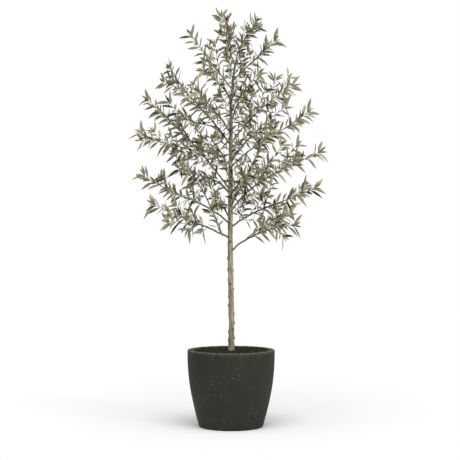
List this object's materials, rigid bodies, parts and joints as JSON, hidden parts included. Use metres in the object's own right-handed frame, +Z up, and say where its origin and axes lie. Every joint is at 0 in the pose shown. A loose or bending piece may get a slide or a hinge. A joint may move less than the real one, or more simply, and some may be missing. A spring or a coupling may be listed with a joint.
{
  "type": "potted olive tree",
  "caption": "Young olive tree with a clear straight trunk and an open, upswept crown of small grey-green leaves, growing in a round dark planter that narrows to its foot.",
  "frame": {"origin": "centre of the planter's flat underside, at floor level", "axes": "+Z up along the trunk, -Y the front of the plant, +X to its right seen from the front"},
  "size_m": [0.8917, 0.7779, 1.9169],
  "materials": {
    "planter": "matte, finely pitted",
    "compost": "rough, crumbly",
    "bark": "matte, finely ridged",
    "foliage": "leathery, grey-green"
  },
  "bodies": {
    "root": {"planter": "planter", "compost": "compost", "trunk": "bark", "bough_01": "bark", "foliage_01": "foliage", "bough_02": "bark", "foliage_02": "foliage", "bough_03": "bark", "foliage_03": "foliage", "bough_04": "bark", "foliage_04": "foliage", "bough_05": "bark", "foliage_05": "foliage", "bough_06": "bark", "foliage_06": "foliage", "bough_07": "bark", "foliage_07": "foliage", "bough_08": "bark", "foliage_08": "foliage", "bough_09": "bark", "foliage_09": "foliage", "bough_10": "bark", "foliage_10": "foliage", "bough_11": "bark", "foliage_11": "foliage", "bough_12": "bark", "foliage_12": "foliage", "bough_13": "bark", "foliage_13": "foliage", "bough_14": "bark", "foliage_14": "foliage", "bough_15": "bark", "foliage_15": "foliage", "bough_16": "bark", "foliage_16": "foliage", "bough_17": "bark", "foliage_17": "foliage", "bough_18": "bark", "foliage_18": "foliage", "bough_19": "bark", "foliage_19": "foliage", "bough_20": "bark", "foliage_20": "foliage", "bough_21": "bark", "foliage_21": "foliage", "bough_22": "bark", "foliage_22": "foliage", "bough_23": "bark", "foliage_23": "foliage", "bough_24": "bark", "foliage_24": "foliage", "bough_25": "bark", "foliage_25": "foliage", "bough_26": "bark", "foliage_26": "foliage", "bough_27": "bark", "foliage_27": "foliage", "bough_28": "bark", "foliage_28": "foliage"}
  },
  "joints": []
}
